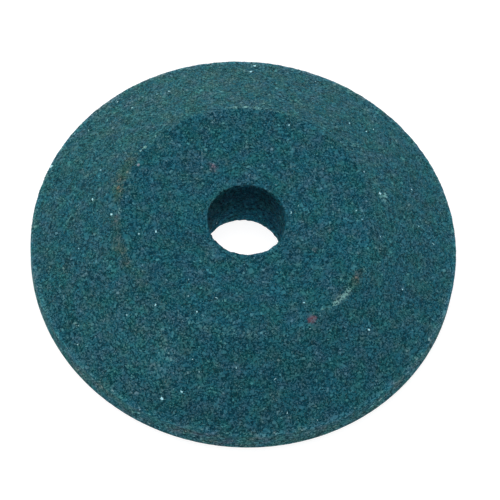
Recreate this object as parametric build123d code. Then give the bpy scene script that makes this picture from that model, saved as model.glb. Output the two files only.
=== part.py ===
"""A small bonded-abrasive grinding wheel, bevelled on one side.

The wheel is a single moulded and fired body of abrasive grain and ceramic bond. It has
no separate core, bush, rim layer or paper washer, so the model is one solid in one node.
Its corners are dressed square and crumble only as deep as a grain, 0.2 to 0.3 mm, so the
solid leaves them sharp.

Frame: millimetres, +Z along the bore axis. The origin is on the axis, in the flat back
face that the wheel lies on. The bevelled side faces up.
"""
from build123d import *
import math
import os

# Driving dimensions
WHEEL_DIAMETER = 45.0
THICKNESS = 7.8            # back face to hub face, sold as 8
BORE_DIAMETER = 8.2        # slips over an 8 mm spindle
HUB_FACE_DIAMETER = 27.0   # flat face that a clamp flange seats on
BEVEL_ANGLE = 30.0         # slope of the bevelled side, in degrees from the hub face

# Worked out from the driving dimensions
WHEEL_RADIUS = WHEEL_DIAMETER / 2
BORE_RADIUS = BORE_DIAMETER / 2
HUB_FACE_RADIUS = HUB_FACE_DIAMETER / 2
BEVEL_DROP = (WHEEL_RADIUS - HUB_FACE_RADIUS) * math.tan(math.radians(BEVEL_ANGLE))
RIM_WALL_HEIGHT = THICKNESS - BEVEL_DROP


def half_section():
    """Half of the wheel's cross-section, on the XZ plane, outside the bore."""
    corners = [
        (BORE_RADIUS, 0),
        (WHEEL_RADIUS, 0),
        (WHEEL_RADIUS, RIM_WALL_HEIGHT),
        (HUB_FACE_RADIUS, THICKNESS),
        (BORE_RADIUS, THICKNESS),
    ]
    return make_face(Plane.XZ * Polyline(*corners, close=True))


def abrasive_wheel():
    """The whole wheel: its half section turned once round the bore axis."""
    return revolve(half_section(), axis=Axis.Z)


os.makedirs("parts", exist_ok=True)
export_step(abrasive_wheel(), "parts/abrasive_wheel.step")
print(f"rim wall {RIM_WALL_HEIGHT:.2f} mm high, bevel drops {BEVEL_DROP:.2f} mm")
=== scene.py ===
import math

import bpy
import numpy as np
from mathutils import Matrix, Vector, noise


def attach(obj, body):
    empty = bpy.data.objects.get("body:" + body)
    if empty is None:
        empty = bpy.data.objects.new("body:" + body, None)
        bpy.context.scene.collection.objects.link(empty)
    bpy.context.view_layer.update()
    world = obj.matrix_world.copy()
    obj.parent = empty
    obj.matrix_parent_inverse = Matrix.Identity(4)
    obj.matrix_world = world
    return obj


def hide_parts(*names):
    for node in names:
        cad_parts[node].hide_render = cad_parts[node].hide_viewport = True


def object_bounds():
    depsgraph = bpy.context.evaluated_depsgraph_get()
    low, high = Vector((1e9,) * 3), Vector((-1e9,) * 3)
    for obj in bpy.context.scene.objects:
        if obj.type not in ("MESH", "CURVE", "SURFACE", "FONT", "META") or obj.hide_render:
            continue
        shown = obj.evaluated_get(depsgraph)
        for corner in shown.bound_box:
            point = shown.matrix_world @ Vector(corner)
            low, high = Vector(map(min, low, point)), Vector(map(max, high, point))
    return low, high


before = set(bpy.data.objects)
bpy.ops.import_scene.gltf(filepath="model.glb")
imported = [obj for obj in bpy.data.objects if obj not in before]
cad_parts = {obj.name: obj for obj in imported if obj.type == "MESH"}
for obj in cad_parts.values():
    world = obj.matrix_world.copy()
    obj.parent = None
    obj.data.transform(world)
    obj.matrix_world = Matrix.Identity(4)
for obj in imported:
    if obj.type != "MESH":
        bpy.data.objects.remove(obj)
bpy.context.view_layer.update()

# A small bonded-abrasive grinding wheel, lying on its flat back. One fired body of grain and
# glassy bond: the body mesh is the bond and its pores, and the exposed grains are real
# crystals half sunk in it. Everything is in metres, +Z up the bore axis, back face at z = 0.
# Angles round the wheel start at +X, and the camera looks along +Y and down.

rng = np.random.default_rng(45)

# Surface texture, in metres
FACET = 0.00022            # spacing of the body's surface points
GRAIN_PITCH = 0.000205     # spacing of the exposed grains
GRAIN_SIZE = 0.000140      # half the width of an average grain
BODY_SINK = 0.00007        # the bond lies this far below the dressed tops of the grains
BODY_ROUGHNESS = 0.00003   # the most that the bond lies above or below that
TOP_ROUGHNESS = 0.000015   # how far below the dressed face the grains' tops typically lie
EDGE_REACH = 0.00022       # how far from a corner its crumbling and its skin reach
CHIP_SPACING = 0.0007      # from one chip in a corner to the next
DRESSING = 0.94            # share of each grain's excess height that dressing took off

# Tones, from 0 for nearly black to 1 for the palest, and the share of the grains that have each
BOND_TONES = (0.05, 0.35)              # the darkest and the lightest of the bond's facets
DARK_TONE, DARK_SHARE = 0.10, 0.13
LIGHT_TONE, LIGHT_SHARE = 0.90, 0.04
# The glint tone: these grains are painted a pale glint colour as painted glints, and are also given
# real gloss
PAINTED_GLINT_TONE, PAINTED_GLINT_SHARE = 1.00, 0.0009
LOWEST_TONE, TONE_RANGE = 0.35, 0.44   # all the other grains

# Camera, as the wheel was photographed: far off with a long lens, a little rolled
CAMERA_DISTANCE = 0.3135
CAMERA_ELEVATION = 61.7    # degrees above the floor
CAMERA_ROLL = 6.4          # degrees counter-clockwise, seen from behind the camera
CAMERA_LENS = 217.0        # millimetres on a 36 mm sensor
AIM_RIGHT = 0.00035        # how far right of the middle of the hub face the camera aims
AIM_DOWN = 0.0032          # and how far below it, in the picture


# ---------------------------------------------------------------- the section, from the CAD

def cad_corners():
    """The CAD wheel's own corners as (radius, height) pairs, read from its vertices."""
    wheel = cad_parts["abrasive_wheel"]
    return {(round(math.hypot(v.co.x, v.co.y), 6), round(v.co.z, 6)) for v in wheel.data.vertices}


corners = cad_corners()
TOP = max(z for r, z in corners)
WHEEL_RADIUS = max(r for r, z in corners)
BORE_RADIUS = min(r for r, z in corners)
HUB_RADIUS = max(r for r, z in corners if z == TOP)
RIM_TOP = max(z for r, z in corners if r == WHEEL_RADIUS)

SECTION = [
    (BORE_RADIUS, 0.0),
    (WHEEL_RADIUS, 0.0),
    (WHEEL_RADIUS, RIM_TOP),
    (HUB_RADIUS, TOP),
    (BORE_RADIUS, TOP),
]
# How deep each corner has crumbled, and the share of the grain's relief that its dense skin fills
CORNER_WEAR = [0.00006, 0.00001, 0.00003, 0.00003, 0.00012]
CORNER_SKIN = [0.5, 0.9, 0.5, 0.0, 0.4]
# A corner's middling wear, how far its chips vary it, and the most, as shares of its CORNER_WEAR
EVEN_WEAR, CHIP_WEAR, MOST_WEAR = 0.4, 1.6, 1.4
# The face that starts at each corner, with how many bands its grains are made in
ZONES = [("back", 3), ("rim", 1), ("bevel", 2), ("hub", 1), ("bore", 1)]
CLEAN_ZONES = ("rim", "bore")   # upright walls, where dust doesn't settle


def face_rows(start, spacing):
    """Evenly spaced (radius, height, normal radius, normal height) rows over one face.

    The face runs from the section's corner number start to the next one.
    """
    (ra, za), (rb, zb) = SECTION[start], SECTION[(start + 1) % len(SECTION)]
    length = math.hypot(rb - ra, zb - za)
    steps = round(length / spacing)
    t = np.arange(steps) / steps
    rows = [ra + t * (rb - ra), za + t * (zb - za)]
    rows += [np.full(steps, (zb - za) / length), np.full(steps, (ra - rb) / length)]
    return np.stack(rows, axis=1)


def ring_angles(rows, spacing, jitter):
    """Points evenly spaced round every row: the row of each, and its jittered angle."""
    counts = np.round(2 * np.pi * rows[:, 0] / spacing).astype(int)
    firsts = np.cumsum(counts) - counts
    row = np.repeat(np.arange(len(rows)), counts)
    step = np.arange(len(row)) - firsts[row] + 0.5 * (row % 2)
    step += rng.uniform(-jitter, jitter, len(row))
    return counts, firsts, row, 2 * np.pi * step / counts[row]


def polar(r, angle, z):
    """Points in the wheel's frame, from radius, angle and height."""
    return np.stack([r * np.cos(angle), r * np.sin(angle), z], axis=1)


def dress(points, level):
    """Trims points that stand above any face of the wheel, down to nearly its own level there."""
    old = np.hypot(points[..., 0], points[..., 1])
    r, z = old.copy(), points[..., 2]
    for start in range(len(SECTION)):
        ra, za, nr, nz = face_rows(start, FACET)[0]   # a point on the face, and its normal
        excess = np.maximum(0, (r - ra) * nr + (z - za) * nz - level) * DRESSING
        r, z = r - nr * excess, z - nz * excess
    return np.stack([points[..., 0] * r / old, points[..., 1] * r / old, z], axis=-1)


def nearest_corner(r, z):
    """Which corner of the section each point is nearest to, and how near: 1 at the corner."""
    to_corner = np.hypot(r[:, None] - [c[0] for c in SECTION], z[:, None] - [c[1] for c in SECTION])
    return to_corner.argmin(axis=1), np.exp(-((to_corner.min(axis=1) / EDGE_REACH) ** 2))


def crumble(r, angle, z):
    """How deep the wheel's corners have crumbled at each point of its surface."""
    corner, nearness = nearest_corner(r, z)
    wear = nearness * np.array(CORNER_WEAR)[corner]
    near_a_corner = nearness > 0.02
    for i in np.flatnonzero(near_a_corner):
        place = Vector((r[i] * math.cos(angle[i]), r[i] * math.sin(angle[i]), z[i])) / CHIP_SPACING
        wear[i] *= min(MOST_WEAR, max(0.0, EVEN_WEAR + CHIP_WEAR * noise.noise(place)))
    return wear


def skin(r, z):
    """The share of the grain's relief that is filled in, where the stone is pressed dense."""
    corner, nearness = nearest_corner(r, z)
    return nearness * np.array(CORNER_SKIN)[corner]


# ---------------------------------------------------------------- the body

ROW_PITCH = FACET * 0.87   # rows this close make its triangles nearly equal-sided


def stitch(first_a, count_a, first_b, count_b):
    """Triangles that join a ring of count_a points to the next ring, of count_b points."""
    triangles = []
    i = j = 0
    while i < count_a or j < count_b:
        a, b = first_a + i % count_a, first_b + j % count_b
        if j >= count_b or (i < count_a and (i + 0.5) / count_a < (j + 0.5) / count_b):
            triangles.append((a, first_a + (i + 1) % count_a, b))
            i += 1
        else:
            triangles.append((a, first_b + (j + 1) % count_b, b))
            j += 1
    return triangles


def body_mesh():
    """The whole closed surface: rings of points round the section, uneven like a broken bond."""
    faces = [face_rows(i, ROW_PITCH) for i in range(len(SECTION))]
    zone_of_row = [zone for (zone, bands), face in zip(ZONES, faces) for row in face]
    rows = np.vstack(faces)
    corner_normals = rows[:, 2:] + np.roll(rows[:, 2:], 1, axis=0)
    rows[:, 2:] = corner_normals / np.linalg.norm(corner_normals, axis=1, keepdims=True)
    counts, firsts, row, angle = ring_angles(rows, FACET, jitter=0.25)
    r, z, nr, nz = rows[row].T
    depth = BODY_SINK + rng.uniform(-1, 1, len(row)) * BODY_ROUGHNESS
    depth = depth * (1 - skin(r, z)) + crumble(r, angle, z)
    points = polar(r - nr * depth, angle, z - nz * depth)
    triangles = []
    finish = []
    for k in range(len(rows)):
        n = (k + 1) % len(rows)
        band = stitch(int(firsts[k]), int(counts[k]), int(firsts[n]), int(counts[n]))
        triangles += band
        finish += [int(zone_of_row[k] in CLEAN_ZONES)] * len(band)
    mesh = bpy.data.meshes.new("wheel_body")
    mesh.from_pydata(points.tolist(), [], triangles)
    mesh.polygons.foreach_set("material_index", finish)
    tone = rng.uniform(*BOND_TONES, len(mesh.polygons))
    mesh.attributes.new("tone", "FLOAT", "FACE").data.foreach_set("value", tone)
    return mesh


# ---------------------------------------------------------------- the exposed grains

SIZE_SPREAD = 0.25      # sigma of the grains' lognormal sizes
SLIMNESS = (0.6, 1.0)   # a grain is this share of its size along each of its axes
SKEW = 0.25             # the most that its corners are moved, as a share of its size
STAND_UP = 0.6          # the highest that its top stood before dressing, as a share of its size

# A three-sided splinter: two triangles, one above the other, each with corners 2.1 radians apart
PRISM_CORNERS = np.array([(math.cos(a), math.sin(a), h) for h in (-1, 1) for a in (0.0, 2.1, 4.2)])
PRISM_FACES = np.array([
    (0, 2, 1), (3, 4, 5), (0, 1, 4), (0, 4, 3), (1, 2, 5), (1, 5, 4), (2, 0, 3), (2, 3, 5),
])


def random_turns(count):
    """count random rotation matrices."""
    q = rng.normal(size=(count, 4))
    w, x, y, z = (q / np.linalg.norm(q, axis=1, keepdims=True)).T
    rows = [
        [1 - 2 * (y * y + z * z), 2 * (x * y - w * z), 2 * (x * z + w * y)],
        [2 * (x * y + w * z), 1 - 2 * (x * x + z * z), 2 * (y * z - w * x)],
        [2 * (x * z - w * y), 2 * (y * z + w * x), 1 - 2 * (x * x + y * y)],
    ]
    return np.moveaxis(np.array(rows), 2, 0)


def grain_tones(count):
    """How light each of count grains is: mostly middling, some dark, some light, a few painted as
    glints.
    """
    tone = LOWEST_TONE + TONE_RANGE * rng.uniform(0, 1, (count, 2)).mean(axis=1)
    kind = rng.random(count)
    tone[kind < DARK_SHARE + LIGHT_SHARE] = LIGHT_TONE
    tone[kind < DARK_SHARE] = DARK_TONE
    tone[kind > 1 - PAINTED_GLINT_SHARE] = PAINTED_GLINT_TONE
    return tone


def grain_mesh(name, rows):
    """Sharp splinters over a band of one face, each turned its own way and dressed level."""
    counts, firsts, row, angle = ring_angles(rows, GRAIN_PITCH, jitter=0.4)
    n = len(row)
    r, z, nr, nz = rows[row].T
    slide = rng.uniform(0.0, 1.0, n) * GRAIN_PITCH
    r, z = r - nz * slide, z + nr * slide
    centre = polar(r, angle, z)
    normal = polar(nr, angle, nz)
    size = GRAIN_SIZE * rng.lognormal(0.0, SIZE_SPREAD, n)
    shape = PRISM_CORNERS * rng.uniform(*SLIMNESS, (n, 1, 3)) + rng.uniform(-SKEW, SKEW, (n, 6, 3))
    crystal = np.einsum("nij,nkj->nki", random_turns(n), shape) * size[:, None, None]
    height = np.einsum("nkj,nj->nk", crystal, normal)
    lift = size * rng.uniform(0.0, STAND_UP, n) - height.max(axis=1)
    level = -np.abs(rng.normal(0, TOP_ROUGHNESS, n)) - crumble(r, angle, z)
    points = dress(crystal + (centre + normal * lift[:, None])[:, None], level[:, None])
    faces = PRISM_FACES[None] + len(PRISM_CORNERS) * np.arange(n)[:, None, None]
    mesh = bpy.data.meshes.new(name)
    mesh.from_pydata(points.reshape(-1, 3).tolist(), [], faces.reshape(-1, 3).tolist())
    tone = np.repeat(grain_tones(n), len(PRISM_FACES))
    mesh.attributes.new("tone", "FLOAT", "FACE").data.foreach_set("value", tone)
    return mesh


def add_grains(dusty, clean):
    """The grains of every face, in bands, each band a piece of its own."""
    for start, (zone, bands) in enumerate(ZONES):
        rows = face_rows(start, GRAIN_PITCH)
        for band, band_rows in enumerate(np.array_split(rows, bands)):
            mesh = grain_mesh(f"grains_{zone}_{band + 1}", band_rows)
            add_piece(mesh, clean if zone in CLEAN_ZONES else dusty)


# ---------------------------------------------------------------- materials

# The grains' own colour, by tone, and the painted glint colour of the brightest few
TONES = [
    (0.00, (0.0010, 0.020, 0.033)),
    (0.20, (0.0045, 0.065, 0.091)),
    (0.50, (0.0207, 0.138, 0.180)),
    (0.80, (0.0550, 0.222, 0.262)),
    (1.00, (0.0970, 0.314, 0.352)),
]
PAINTED_GLINT_COLOUR = (0.48, 0.90, 0.98)
# The grains' roughness, by tone
GLOSS = [(0.00, 0.96), (0.50, 0.88), (0.80, 0.74), (0.95, 0.45)]

# Patches of the fired stone: their size in metres, and their tints by the noise that makes them.
# Every tint multiplies the grains' own colour.
PATCHES = [
    (0.0016, [(0.36, (0.95, 0.96, 1.04)), (0.50, (1, 1, 1)), (0.64, (1.06, 1.03, 0.91))]),
    (0.0014, [(0.36, (0.75, 1.00, 1.00)), (0.50, (1, 1, 1)), (0.66, (1.55, 0.97, 0.99))]),
]
# Tints of the walls: the rim's from its greyest to its brownest, and the bore's, painted shade that
# makes it bluer and less red
RIM_GREY = (1.76, 1.50, 1.50)
RIM_BROWN = (2.80, 1.54, 1.38)
BORE_SHADE_TINT = (0.24, 0.98, 1.14)
# Tints of the stains. The dust and haze tints also lighten two broad patches of the bevel as
# painted light.
RUST = (1.70, 0.78, 0.78)
OLIVE = (2.20, 0.96, 0.66)
BLUSH = (4.00, 0.95, 1.00)
DUST_AND_PAINTED_LIGHT = (1.72, 1.24, 1.09)
HAZE_AND_PAINTED_LIGHT = (1.72, 1.36, 1.27)
# Scuffs and paint cover the grains' own colour
CHALK = (0.34, 0.70, 0.63)
RED = (0.34, 0.08, 0.09)
PINK = (0.46, 0.50, 0.56)
RAGGEDNESS = 2.0   # weight of the noise in the marks' outlines

# What use has left on the wheel, and two patches of painted light: colour, kind, strength, angle
# round the wheel in degrees, radius as a share of the hub face's, length along the circumference
# and width in metres
MARKS = [
    (OLIVE, "STAIN", 0.80, 162, 1.04, 0.0065, 0.0018),
    (OLIVE, "STAIN", 0.90, 175, 1.01, 0.0030, 0.0014),
    (OLIVE, "STAIN", 0.60, 198, 1.01, 0.0090, 0.0015),
    (OLIVE, "STAIN", 0.35, 218, 0.98, 0.0060, 0.0018),
    (OLIVE, "STAIN", 0.60, 330, 0.97, 0.0080, 0.0014),
    (RUST, "STAIN", 0.60, 157, 1.00, 0.0020, 0.0010),
    (RUST, "STAIN", 0.50, 169, 1.03, 0.0022, 0.0012),
    (RUST, "STAIN", 0.40, 189, 1.00, 0.0024, 0.0009),
    (RUST, "STAIN", 1.00, 337, 0.97, 0.0024, 0.0010),
    (RUST, "STAIN", 0.40, 268, 1.66, 0.0050, 0.0016),
    (CHALK, "SCUFF", 0.40, 92, 1.01, 0.0080, 0.0006),
    (DUST_AND_PAINTED_LIGHT, "STAIN", 0.50, 138, 1.03, 0.0044, 0.0022),
    (CHALK, "SCUFF", 0.80, 148, 1.01, 0.0006, 0.0005),
    (CHALK, "SCUFF", 0.60, 183, 0.98, 0.0009, 0.0006),
    (CHALK, "SCUFF", 0.58, 324, 0.98, 0.0040, 0.0008),
    (CHALK, "SCUFF", 0.60, 341, 1.00, 0.0006, 0.0005),
    (CHALK, "SCUFF", 0.45, 20, 1.10, 0.0018, 0.0012),
    (CHALK, "SCUFF", 0.45, 46, 1.12, 0.0005, 0.0016),
    (HAZE_AND_PAINTED_LIGHT, "STAIN", 1.00, 247, 1.26, 0.0026, 0.0055),
    (CHALK, "SCUFF", 0.14, 262, 0.98, 0.0140, 0.0012),
    # Painted light: lightens the far left of the bevel, where the light from behind and to the left
    # falls on it
    (DUST_AND_PAINTED_LIGHT, "STAIN", 0.60, 130, 1.34, 0.0240, 0.0100),
    # Painted light: lightens the near left of the bevel, where the light from the left falls on it
    (HAZE_AND_PAINTED_LIGHT, "STAIN", 0.50, 234, 1.34, 0.0160, 0.0100),
    (PINK, "PAINT", 0.70, 157, 0.96, 0.0004, 0.0003),
    (RED, "PAINT", 0.60, 306, 0.98, 0.0011, 0.0010),
    (BLUSH, "STAIN", 1.00, 125, 0.51, 0.0012, 0.0018),
    (BLUSH, "STAIN", 0.40, 0, 0.65, 0.0010, 0.0008),
    (BLUSH, "STAIN", 0.40, 340, 0.58, 0.0006, 0.0006),
]


def node(tree, kind, **values):
    """A new shader node, with its inputs set by name and its settings by attribute."""
    made = tree.nodes.new(kind)
    for key, value in values.items():
        if key in made.inputs:
            made.inputs[key].default_value = value
        else:
            setattr(made, key, value)
    return made


def ramp(tree, source, stops):
    """A colour ramp over source, with (position, (red, green, blue)) stops."""
    made = tree.nodes.new("ShaderNodeValToRGB")
    elements = made.color_ramp.elements
    while len(elements) < len(stops):
        elements.new(0.5)
    for element, (position, colour) in zip(elements, stops):
        element.position = position
        element.color = (*colour, 1)
    tree.links.new(source, made.inputs["Fac"])
    return made.outputs["Color"]


def blended(tree, under, over, factor, blend="MIX"):
    """under covered by over, by factor. A colour or a factor may be a value or an output."""
    mix = node(tree, "ShaderNodeMix", data_type="RGBA", blend_type=blend)
    # A Mix node has an A, a B and a Result for each type of data. These numbers are the colours'.
    factor_socket, under_socket, over_socket = mix.inputs["Factor"], mix.inputs[6], mix.inputs[7]
    for socket, value in ((factor_socket, factor), (under_socket, under), (over_socket, over)):
        if isinstance(value, bpy.types.NodeSocket):
            tree.links.new(value, socket)
        elif socket == factor_socket:
            socket.default_value = value
        else:
            socket.default_value = (*value, 1)
    return mix.outputs[2]


def tinted(tree, colour, tint, factor=1.0):
    """colour multiplied by tint, by factor."""
    return blended(tree, colour, tint, factor, "MULTIPLY")


def maths(tree, operation, *values):
    """The result of a Math node over values, each a number or an output."""
    made = node(tree, "ShaderNodeMath", operation=operation)
    for socket, value in zip(made.inputs, values):
        if isinstance(value, bpy.types.NodeSocket):
            tree.links.new(value, socket)
        else:
            socket.default_value = value
    return made.outputs["Value"]


def between(tree, source, low, high):
    """A smooth step over source, from 0 at low to 1 at high. Low may be above high."""
    made = node(tree, "ShaderNodeMapRange", interpolation_type="SMOOTHSTEP")
    for name, value in (("From Min", low), ("From Max", high)):
        made.inputs[name].default_value = value
    tree.links.new(source, made.inputs["Value"])
    return made.outputs["Result"]


def speckle(tree, place, size, detail=2.0):
    """Noise whose blotches are about size metres across."""
    made = node(tree, "ShaderNodeTexNoise", Scale=1.0 / size, Detail=detail)
    tree.links.new(place, made.inputs["Vector"])
    return made.outputs["Fac"]


def separated(tree, vector):
    """The X, Y and Z of a vector output."""
    split = tree.nodes.new("ShaderNodeSeparateXYZ")
    tree.links.new(vector, split.inputs["Vector"])
    return split.outputs["X"], split.outputs["Y"], split.outputs["Z"]


def sum_of_squares(tree, a, b):
    """a squared plus b squared."""
    return maths(tree, "ADD", maths(tree, "POWER", a, 2), maths(tree, "POWER", b, 2))


def mark_mask(tree, place, ragged, angle, radius, length, width):
    """A ragged spot that lies along the circumference at an angle and radius, length by width."""
    turned = node(tree, "ShaderNodeVectorRotate", rotation_type="Z_AXIS")
    turned.inputs["Angle"].default_value = -math.radians(angle)
    tree.links.new(place, turned.inputs["Vector"])
    x, y, _ = separated(tree, turned.outputs["Vector"])
    r = maths(tree, "SQRT", sum_of_squares(tree, x, y))
    across = maths(tree, "DIVIDE", maths(tree, "SUBTRACT", r, radius), width / 2)
    along = maths(tree, "MULTIPLY", maths(tree, "ARCTAN2", y, x), radius * 2 / length)
    noise_part = maths(tree, "MULTIPLY", ragged, RAGGEDNESS)
    away = maths(tree, "ADD", sum_of_squares(tree, across, along), noise_part)
    return between(tree, away, low=2.2, high=0.8)


def grain_colour(tree, place, tone):
    """Dark teal silicon carbide of many tones, with bluer, greener and redder patches."""
    colour = ramp(tree, tone, TONES)
    for size, tints in PATCHES:
        colour = tinted(tree, colour, ramp(tree, speckle(tree, place, size, detail=1.0), tints))
    return colour


def weathered_and_bore_shade(tree, place, colour):
    """The rim wall greyed and browned by handling, and the bore wall tinted bluer and less red as
    painted shade.
    """
    x, y, z = separated(tree, place)
    r = maths(tree, "SQRT", sum_of_squares(tree, x, y))
    browned = between(tree, speckle(tree, place, size=0.004), low=0.3, high=0.7)
    on_rim = between(tree, r, low=WHEEL_RADIUS - 0.0006, high=WHEEL_RADIUS - 0.0002)
    colour = tinted(tree, colour, blended(tree, RIM_GREY, RIM_BROWN, browned), on_rim)
    # Painted shade: the bore wall is tinted bluer and less red below its mouth, where shade falls
    near_bore = between(tree, r, low=BORE_RADIUS + 0.0003, high=BORE_RADIUS + 0.0001)
    below_mouth = between(tree, z, low=TOP - 0.00005, high=TOP - 0.0003)
    return tinted(tree, colour, BORE_SHADE_TINT, maths(tree, "MULTIPLY", near_bore, below_mouth))


def marked(tree, place, tone, colour):
    """The marks of use. A stain tints the grains, a scuff hides the lighter ones, and paint all.
    Two stains are painted light on the bevel.
    """
    ragged = speckle(tree, place, size=0.0004)
    lighter = between(tree, tone, low=0.35, high=0.65)
    for tint, kind, strength, angle, radius, length, width in MARKS:
        mask = mark_mask(tree, place, ragged, angle, radius * HUB_RADIUS, length, width)
        if kind == "SCUFF":
            mask = maths(tree, "MULTIPLY", mask, lighter)
        mask = maths(tree, "MULTIPLY", mask, strength)
        colour = blended(tree, colour, tint, mask, "MULTIPLY" if kind == "STAIN" else "MIX")
    return colour


def grain_gloss(tree, place, tone):
    """Roughness: the bond and the dusty grains are dull, and the clean bright ones glint."""
    dulling = maths(tree, "MULTIPLY", speckle(tree, place, size=0.0008), 0.2)
    dulled = maths(tree, "SUBTRACT", tone, dulling)
    return ramp(tree, dulled, [(position, (level, level, level)) for position, level in GLOSS])


def fracture_relief(tree, place):
    """The steps and shells in a broken crystal's faces, finer than the grains themselves."""
    bump = node(tree, "ShaderNodeBump", Strength=0.6, Distance=0.00001)
    tree.links.new(speckle(tree, place, size=0.00006, detail=3.0), bump.inputs["Height"])
    return bump.outputs["Normal"]


def abrasive_material(name, dust):
    """The bonded abrasive: grains, weathering and painted shade in the bore, marks and two patches
    of painted light, a few painted glints, and a veil of dust.
    """
    material = bpy.data.materials.new(name)
    material.use_nodes = True
    tree = material.node_tree
    shader = tree.nodes["Principled BSDF"]
    place = tree.nodes.new("ShaderNodeTexCoord").outputs["Object"]
    tone = node(tree, "ShaderNodeAttribute", attribute_name="tone").outputs["Fac"]
    colour = weathered_and_bore_shade(tree, place, grain_colour(tree, place, tone))
    colour = marked(tree, place, tone, colour)
    # Painted glints: grains of the glint tone are painted pale cyan-white
    colour = blended(tree, colour, PAINTED_GLINT_COLOUR, between(tree, tone, low=0.980, high=0.990))
    tree.links.new(colour, shader.inputs["Base Color"])
    tree.links.new(grain_gloss(tree, place, tone), shader.inputs["Roughness"])
    tree.links.new(fracture_relief(tree, place), shader.inputs["Normal"])
    shader.inputs["Specular IOR Level"].default_value = 0.30
    shader.inputs["Sheen Weight"].default_value = dust
    shader.inputs["Sheen Roughness"].default_value = 0.38
    shader.inputs["Sheen Tint"].default_value = (0.57, 1.0, 0.79, 1)
    shader.inputs["Specular Tint"].default_value = (0.2, 0.80, 0.95, 1)
    return material


def floor_material():
    """A matt sheet that glows white like a light table, so that no shadow on it is dark."""
    material = bpy.data.materials.new("pale_floor")
    material.use_nodes = True
    shader = material.node_tree.nodes["Principled BSDF"]
    shader.inputs["Base Color"].default_value = (0.25, 0.25, 0.25, 1)
    shader.inputs["Roughness"].default_value = 0.9
    shader.inputs["Emission Color"].default_value = (1, 1, 1, 1)
    shader.inputs["Emission Strength"].default_value = 0.90
    return material


# ---------------------------------------------------------------- the pieces

def add_piece(mesh, *materials):
    """An object of mesh on the wheel's one body, finished as the bonded abrasive."""
    piece = bpy.data.objects.new(mesh.name, mesh)
    bpy.context.scene.collection.objects.link(piece)
    for material in materials:
        mesh.materials.append(material)
    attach(piece, "root")
    return piece


dusty = abrasive_material("dusty_abrasive", dust=0.8)
clean = abrasive_material("clean_abrasive", dust=0.1)
body = add_piece(body_mesh(), dusty, clean)
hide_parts("abrasive_wheel")
add_grains(dusty, clean)


# ---------------------------------------------------------------- floor, light and camera

def add_floor():
    """A wide pale floor, just under the lowest grain."""
    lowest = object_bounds()[0].z
    mesh = bpy.data.meshes.new("floor")
    half = 1.5   # metres, half of its width
    outline = [(-half, -half), (half, -half), (half, half), (-half, half)]
    mesh.from_pydata([(x, y, lowest) for x, y in outline], [], [(0, 1, 2, 3)])
    mesh.materials.append(floor_material())
    floor = bpy.data.objects.new("floor", mesh)
    bpy.context.scene.collection.objects.link(floor)


def add_softbox(name, azimuth, elevation, distance, size, power, colour=(1, 1, 1)):
    """A soft light aimed at the wheel, size wide and high. Azimuth 0 is to the right, 90 behind."""
    a, e = math.radians(azimuth), math.radians(elevation)
    towards = Vector((math.cos(a) * math.cos(e), math.sin(a) * math.cos(e), math.sin(e)))
    data = bpy.data.lights.new(name, "AREA")
    data.shape = "RECTANGLE"
    data.size, data.size_y = size
    data.energy = power
    data.color = colour
    light = bpy.data.objects.new(name, data)
    light.location = towards * distance
    light.rotation_euler = (-towards).to_track_quat("-Z", "Y").to_euler()
    light.visible_camera = False
    bpy.context.scene.collection.objects.link(light)


def add_world(horizon):
    """A bright studio wall all round, fading to dark overhead."""
    world = bpy.data.worlds.new("studio")
    world.use_nodes = True
    tree = world.node_tree
    direction = tree.nodes.new("ShaderNodeTexCoord").outputs["Generated"]
    _, _, height = separated(tree, direction)
    sky = ramp(tree, height, [(0.0, horizon), (0.35, (0.0, 0.0, 0.0))])
    tree.links.new(sky, tree.nodes["Background"].inputs["Color"])
    bpy.context.scene.world = world


def add_camera():
    """The camera looks along +Y and down at the middle of the hub face, a little off centre."""
    elevation, roll = math.radians(CAMERA_ELEVATION), math.radians(CAMERA_ROLL)
    back = Vector((0, -math.cos(elevation), math.sin(elevation)))
    level = Matrix((Vector((1, 0, 0)), back.cross(Vector((1, 0, 0))), back)).transposed()
    turn = level @ Matrix.Rotation(roll, 3, "Z")
    right, up = turn.col[0], turn.col[1]
    aim = Vector((0, 0, TOP)) + right * AIM_RIGHT - up * AIM_DOWN
    data = bpy.data.cameras.new("camera")
    data.sensor_width = 36.0
    data.lens = CAMERA_LENS
    data.clip_start = 0.01
    camera = bpy.data.objects.new("camera", data)
    camera.matrix_world = Matrix.Translation(aim + back * CAMERA_DISTANCE) @ turn.to_4x4()
    bpy.context.scene.collection.objects.link(camera)
    bpy.context.scene.camera = camera


add_floor()
add_softbox("overhead", azimuth=110, elevation=77, distance=0.6, size=(0.4, 0.4), power=3.45,
            colour=(0.98, 0.95, 1.0))
add_softbox("low_left", azimuth=160, elevation=12, distance=0.6, size=(0.4, 0.15), power=0.7,
            colour=(1.0, 0.65, 0.3))
add_world(horizon=(1.20, 1.05, 1.00))
add_camera()
bpy.context.scene.view_settings.view_transform = "Standard"
